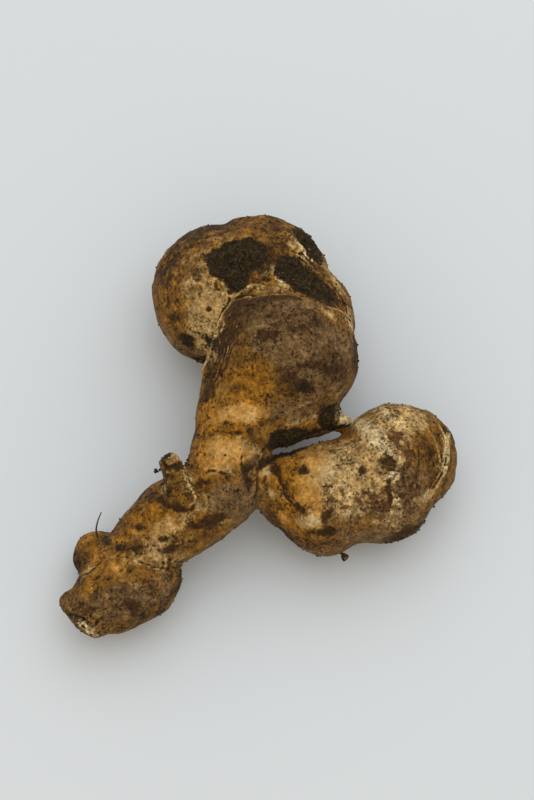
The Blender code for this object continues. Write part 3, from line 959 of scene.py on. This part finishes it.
def in_millimetres(tree):
    """The place on a piece, in millimetres along the CAD axes."""
    here = add(tree, "ShaderNodeTexCoord", {})
    per_mm = {0: here.outputs["Object"], 1: (1 / MM,) * 3}
    return add(tree, "ShaderNodeVectorMath", per_mm, operation="MULTIPLY").outputs[0]


def mottle(size, seed, detail=5.0, roughness=MOTTLE_ROUGHNESS):
    """Noise from about 0 to 1 with lumps size millimetres wide."""
    lumps = {"Vector": in_mm, "W": seed, "Scale": 1 / size}
    lumps |= {"Detail": detail, "Roughness": roughness}
    raw = add(tree, "ShaderNodeTexNoise", lumps, noise_dimensions="4D")
    return add(tree, "ShaderNodeMapRange", {0: raw.outputs[0], 1: 0.3, 2: 0.7}).outputs[0]


def laid(under, name, dark, light, size, seed, soft):
    """A layer of skin over what is under it, where its cover beats a mottle of size mm: its
    colour, and its share of the surface."""
    cover = add(tree, "ShaderNodeAttribute", {}, attribute_name=name)
    # Stretched at both ends, so that full cover leaves no gaps and no cover leaves no spots.
    stretched = {0: cover.outputs["Fac"], 1: 1.3, 2: -0.15}
    full = add(tree, "ShaderNodeMath", stretched, operation="MULTIPLY_ADD")
    edge = {0: full.outputs[0], 1: mottle(size, seed, 8.0, LAYER_ROUGHNESS)}
    over = add(tree, "ShaderNodeMath", edge, operation="SUBTRACT")
    across_edge = {0: over.outputs[0], 1: -soft, 2: soft}
    share = add(tree, "ShaderNodeMapRange", across_edge, interpolation_type="SMOOTHSTEP")
    tones = {0: mottle(TONE_SIZE, seed + 1), 6: paint(dark), 7: paint(light)}
    inside = add(tree, "ShaderNodeMix", tones, data_type="RGBA")
    both = {0: share.outputs[0], 6: under, 7: inside.outputs[2]}
    return add(tree, "ShaderNodeMix", both, data_type="RGBA").outputs[2], share.outputs[0]


def freckled(under, size, seed, reach, rare, colour, strength, kept_off):
    """Pores or specks in loose flocks, and fewer on the skin that they are kept off: one in
    each cell of size mm whose luck is over rare, each a small dot of its own width."""
    half_cells = {"Vector": in_mm, "Scale": 1 / (0.5 * size), "Detail": 2.0}
    wobble = add(tree, "ShaderNodeTexNoise", half_cells)
    own_place = {0: in_mm, 1: (seed, 2 * seed, 3 * seed)}
    shifted = add(tree, "ShaderNodeVectorMath", own_place, operation="ADD")
    push = {0: wobble.outputs[1], 1: (0.8 * size,) * 3, 2: shifted.outputs[0]}
    pushed = add(tree, "ShaderNodeVectorMath", push, operation="MULTIPLY_ADD")
    cells = add(tree, "ShaderNodeTexVoronoi", {"Vector": pushed.outputs[0], "Scale": 1 / size})
    luck = add(tree, "ShaderNodeSeparateColor", {0: cells.outputs["Color"]})
    width = add(tree, "ShaderNodeMapRange", {0: luck.outputs[0], 1: rare, 4: reach})
    flock = {0: mottle(PORE_FLOCK, seed + 1, 3.0), 1: -PORE_THINNING, 2: width.outputs[0]}
    thinned = add(tree, "ShaderNodeMath", flock, operation="MULTIPLY_ADD")
    off = {0: kept_off, 1: -PORE_CALM, 2: thinned.outputs[0]}
    left = add(tree, "ShaderNodeMath", off, operation="MULTIPLY_ADD")
    inward = {0: left.outputs[0], 1: cells.outputs["Distance"]}
    depth = add(tree, "ShaderNodeMath", inward, operation="SUBTRACT")
    share = add(tree, "ShaderNodeMapRange", {0: depth.outputs[0], 2: PORE_EDGE, 4: strength})
    both = {0: share.outputs[0], 6: under, 7: paint(colour)}
    return add(tree, "ShaderNodeMix", both, data_type="RGBA").outputs[2]


def flecked(under, size, seed, above, colour, strength, kept_off):
    """Small flecks of no set shape where a fine noise stands above a level, in loose flocks,
    and fewer on the skin that they are kept off: their colour, and their share."""
    fine = mottle(size, seed, 3.0)
    flock = {0: mottle(FLECK_FLOCK, seed + 1, 3.0), 1: FLECK_GATHER, 2: fine}
    gathered = add(tree, "ShaderNodeMath", flock, operation="MULTIPLY_ADD")
    off = {0: kept_off, 1: -FLECK_CALM, 2: gathered.outputs[0]}
    left = add(tree, "ShaderNodeMath", off, operation="MULTIPLY_ADD")
    rise = {0: left.outputs[0], 1: above, 2: above + FLECK_EDGE, 4: strength}
    share = add(tree, "ShaderNodeMapRange", rise)
    both = {0: share.outputs[0], 6: under, 7: paint(colour)}
    return add(tree, "ShaderNodeMix", both, data_type="RGBA").outputs[2], share.outputs[0]


def dimmed(under, size, seed, low, high, detail, calm):
    """What is under it, darker in some lumps of size mm and lighter in others, and less so
    where the skin is calm."""
    amount = add(tree, "ShaderNodeMapRange", {0: mottle(size, seed, detail), 3: low, 4: high})
    share = add(tree, "ShaderNodeMapRange", {0: calm, 3: 1.0, 4: CALM_LEFT})
    times = {0: share.outputs[0], 6: under, 7: amount.outputs[0]}
    return add(tree, "ShaderNodeMix", times, data_type="RGBA", blend_type="MULTIPLY").outputs[2]


cork, tree, shader = new_finish("tuber skin, dry cork")
in_mm = in_millimetres(tree)
browns = {0: mottle(3.5, 1.0, 6.0), 6: paint("#4a2c0c"), 7: paint("#8f6629")}
ground = add(tree, "ShaderNodeMix", browns, data_type="RGBA").outputs[2]
# Layers from the oldest cork up: cover, dark and light colour, mottle in mm, seed, softness.
shade, orange_share = laid(ground, "orange", "#6a4009", "#ab741e", 3.0, 10.0, 0.6)
# Pale clean cork, with the painted highlights of the ridges and swells.
shade, _ = laid(shade, "pale", "#866236", "#ccaa6d", 2.6, 20.0, 0.3)
shade, young_share = laid(shade, "young", "#a36b1c", "#e4b062", 3.0, 25.0, 0.6)
# A film of dried mud, and the greyer painted reflection on the flanks.
shade, _ = laid(shade, "dusty", "#543c21", "#846640", 3.0, 30.0, 0.4)
shade, _ = laid(shade, "flesh", "#b08e57", "#ead2a0", 1.0, 50.0, 0.3)
shade = dimmed(shade, 7.0, 72.0, low=0.95, high=1.42, detail=3.0, calm=young_share)
shade = dimmed(shade, 2.4, 70.0, low=0.52, high=1.64, detail=5.0, calm=young_share)
shade, _ = laid(shade, "flaky", "#452a12", "#7e5834", 2.2, 45.0, 0.14)
# Brown stains, with the painted shade of the hollows and flanks laid in the same layer.
shade, _ = laid(shade, "stain_and_shade", "#29190a", "#5c3e1e", 2.2, 40.0, 0.34)
shade = dimmed(shade, 1.0, 71.0, low=0.5, high=1.56, detail=4.0, calm=young_share)
# Dark flecks of cork: size in mm, seed, level, colour and strength.
shade, flecks = flecked(shade, 0.7, 80.0, 0.88, "#2c1b0b", 0.8, kept_off=young_share)
# Pores: cell in mm, seed, reach in cells, the luck that a pore needs, colour and strength.
for pores in ((2.1, 9.0, 0.52, 0.5, "#241608", 0.8), (1.2, 19.0, 0.66, 0.45, "#2b1a0c", 0.75)):
    shade = freckled(shade, *pores, kept_off=young_share)
shade, _ = laid(shade, "soiled", "#0d0804", "#46361f", 0.6, 90.0, 0.15)
tree.links.new(shade, shader.inputs["Base Color"])
rough = add(tree, "ShaderNodeMapRange", {0: orange_share, 3: 0.85, 4: 0.6})
tree.links.new(rough.outputs[0], shader.inputs["Roughness"])
shader.inputs["Specular IOR Level"].default_value = 0.1
shader.inputs["Sheen Weight"].default_value = 0.06
shader.inputs["Sheen Tint"].default_value = paint("#e3d6bd")
# Wrinkles 0.7 and 0.35 mm apart, with the flecks sunk into them.
wrinkles = {0: mottle(0.35, 61.0, 2.0), 1: 0.4, 2: mottle(0.7, 60.0)}
relief = add(tree, "ShaderNodeMath", wrinkles, operation="MULTIPLY_ADD")
sinking = {0: flecks, 1: -0.5, 2: relief.outputs[0]}
sunk = add(tree, "ShaderNodeMath", sinking, operation="MULTIPLY_ADD")
bumps = {"Height": sunk.outputs[0], "Strength": 0.9, "Distance": 0.3 * MM}
bump = add(tree, "ShaderNodeBump", bumps)
tree.links.new(bump.outputs[0], shader.inputs["Normal"])
skin_mesh.materials.append(cork)
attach(tuber_skin, "root")
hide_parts("tuber")


# ---------------------------------------------------------------- soil crusts
# Dark garden soil that dried where the tuber lay in it: thin crumbly crusts with ragged
# edges, stuck to the skin by their own clay, and two free crumbs that hang by fibres.
FREE_CRUMBS = ("soil_crumb", "soil_pellet")
CRUST_STEP = 0.27
CRUST_SMOOTHING = 1
# The share of a crust's height that is left once it has settled, and how far in mm its foot
# goes under the skin, so that a hole in it shows skin.
CRUST_LEFT = {
    "soil_crown": 0.62,
    "soil_shoulder": 0.45,
    "soil_rim": 0.55,
    "soil_heel": 0.6,
    "soil_clod": 0.7,
}
CRUST_FOOT = 0.5
# Lumps, rounded crumbs and holes in the crusts: size and height in mm. The noise that makes
# the holes lifts the crust by no more than CRUST_LIFT between them.
CRUST_LUMPS = ((1.6, 0.3), (0.7, 0.25))
CRUST_CRUMBS = ((2.0, 0.7), (1.1, 0.6))
CRUST_HOLES = ((3.0, 1.0), (1.3, 0.9), (0.7, 0.5))
CRUST_LIFT = 0.3
OFF_FLOOR = 0.02

# Dry loam: no shine at all, mottled from almost black to brown as painted shade between its
# grains and painted light on their tops, with a pale grain of sand here and there; grains are
# drawn at 0.5 mm so that they show.
LOAM_GRAIN = 0.5
loam, tree, shader = new_finish("dry loam, crumbly")
in_mm = in_millimetres(tree)
# Painted shade and light of the grains: a 0.5 mm mottle from almost black to brown.
browns = {0: mottle(LOAM_GRAIN, 3.0, 2.0), 6: paint("#080502"), 7: paint("#5a482d")}
grain_shade_and_light = add(tree, "ShaderNodeMix", browns, data_type="RGBA")
damp = add(tree, "ShaderNodeMapRange", {0: mottle(2.2, 5.0), 3: 0.55, 4: 1.35})
times = {0: 1.0, 6: grain_shade_and_light.outputs[2], 7: damp.outputs[0]}
clumped = add(tree, "ShaderNodeMix", times, data_type="RGBA", blend_type="MULTIPLY")
sandy = freckled(clumped.outputs[2], 0.9, 3.0, 0.58, 0.5, "#97866a", 0.9, kept_off=0.0)
tree.links.new(sandy, shader.inputs["Base Color"])
shader.inputs["Roughness"].default_value = 1.0
shader.inputs["Specular IOR Level"].default_value = 0.15
bumps = {"Height": mottle(LOAM_GRAIN, 4.0), "Strength": 0.9, "Distance": 0.3 * MM}
bump = add(tree, "ShaderNodeBump", bumps)
tree.links.new(bump.outputs[0], shader.inputs["Normal"])

carved_bvh = search_tree(points, skin_mesh)


def crumbs(points, size):
    """Rounded crumbs about size millimetres wide, from 0.5 on top to below 0 between them."""
    return np.array([0.5 - noise.voronoi(Vector(p) / size)[0][0] for p in points])


for name in (*CRUSTS, *FREE_CRUMBS):
    crust_mesh = skin_of(name, CRUST_STEP, CRUST_SMOOTHING)
    places, outward = points_of(crust_mesh)
    lumps = sum(height * clouds(places, size, 51 + size) for size, height in CRUST_LUMPS)
    lumps += sum(height * crumbs(places, size) for size, height in CRUST_CRUMBS)
    if name in CRUSTS:
        ragged = sum(height * clouds(places, size, 61 + size) for size, height in CRUST_HOLES)
        for i, place in enumerate(places):
            foot, away = carved_bvh.find_nearest(Vector(place))[:2]
            height = (Vector(place) - foot).dot(away)
            settled = height * CRUST_LEFT[name] - CRUST_FOOT + min(ragged[i], CRUST_LIFT)
            places[i] += np.array(away) * (settled - height)
    places += outward * lumps[:, None]
    places[:, 2] = np.maximum(places[:, 2], OFF_FLOOR)
    move_points(crust_mesh, places)
    crust_mesh.materials.append(loam)
    crust = placed(name + "_loam", crust_mesh)
    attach(crust, "root")
    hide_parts(name)


# ---------------------------------------------------------------- loose grains
# Grains and small crumbs of the same soil that cling to the skin by its roughness, thick
# round the crusts and where the skin is stained or darkened with painted shade, and sparse
# elsewhere.
GRAIN_COUNT = 4200
GRAIN_SIZES = (0.1, 0.45)
GRAIN_CHIP = 0.2
# How far out of the skin a grain's middle stands, as a share of its radius.
GRAIN_OUT = 0.3
# Chances of a grain: anywhere, on full stain or painted shade, on soil, and on the skin under
# the tuber.
ANYWHERE, ON_STAIN, ON_SOIL, UNDERNEATH = 0.02, 0.4, 1.8, 0.05
draw = np.random.default_rng(7)
weight = ANYWHERE + ON_STAIN * stain_and_shade**2 + ON_SOIL * soiled + UNDERNEATH * (1 - upper)
ball = bmesh.new()
bmesh.ops.create_icosphere(ball, subdivisions=1, radius=1)
ball_corners = np.array([corner.co for corner in ball.verts])
ball_faces = np.array([[corner.index for corner in face.verts] for face in ball.faces])
ball.free()


def grain(centre, radius):
    """The corners of one angular grain."""
    turn = np.array(Euler(draw.uniform(0, math.tau, 3)).to_matrix())
    squash = np.array([1, draw.uniform(0.6, 1), draw.uniform(0.5, 0.9)])
    chips = draw.uniform(-GRAIN_CHIP, GRAIN_CHIP, ball_corners.shape)
    chipped = ball_corners * squash + chips
    return centre + radius * chipped @ turn.T


grains = []
for at in draw.choice(len(points), GRAIN_COUNT, p=weight / weight.sum()):
    radius = GRAIN_SIZES[0] + (GRAIN_SIZES[1] - GRAIN_SIZES[0]) * draw.random() ** 3
    centre = points[at] + facing[at] * radius * GRAIN_OUT
    centre[2] = max(centre[2], radius)
    grains.append(grain(centre, radius))
# Root fibres too fine to see hold the two free crumbs, and each has a few grains strung on it.
STRUNG = 5
STRUNG_SIZES = (0.22, 0.42)
SWAY = 0.3
for name in FREE_CRUMBS:
    crumb_middle = sum(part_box(name), Vector()) / 2 / MM
    anchor = carved_bvh.find_nearest(crumb_middle)[0]
    for i in range(STRUNG):
        spot = crumb_middle.lerp(anchor, (i + 0.5) / STRUNG)
        strung = np.array(spot) + draw.uniform(-SWAY, SWAY, 3)
        grains.append(grain(strung, draw.uniform(*STRUNG_SIZES)))
grain_corners = np.concatenate(grains) * MM
grain_faces = np.concatenate([ball_faces + i * len(ball_corners) for i in range(len(grains))])
grain_mesh = bpy.data.meshes.new("loose_grains")
grain_mesh.from_pydata(grain_corners.tolist(), [], grain_faces.tolist())
grain_mesh.materials.append(loam)
loose_grains = placed("loose_grains", grain_mesh)
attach(loose_grains, "root")


# ---------------------------------------------------------------- root hair
# One dry hair root left standing on the side knob, where it grew: a brown thread that thins
# to its tip.
HAIR_STEP = 0.09
HAIR_SMOOTHING = 1
hair_mesh = skin_of("root_hair", HAIR_STEP, HAIR_SMOOTHING)
hair_mesh.shade_smooth()
# Dry root bark: dark brown with a little satin, mottled every half millimetre.
BARK_PATCH = 0.5
bark, tree, shader = new_finish("root bark, dry thread")
in_mm = in_millimetres(tree)
browns = {0: mottle(BARK_PATCH, 8.0), 6: paint("#1d150e"), 7: paint("#4b3826")}
mottled = add(tree, "ShaderNodeMix", browns, data_type="RGBA")
tree.links.new(mottled.outputs[2], shader.inputs["Base Color"])
shader.inputs["Roughness"].default_value = 0.7
hair_mesh.materials.append(bark)
root_hair = placed("root_hair_thread", hair_mesh)
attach(root_hair, "root")
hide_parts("root_hair")
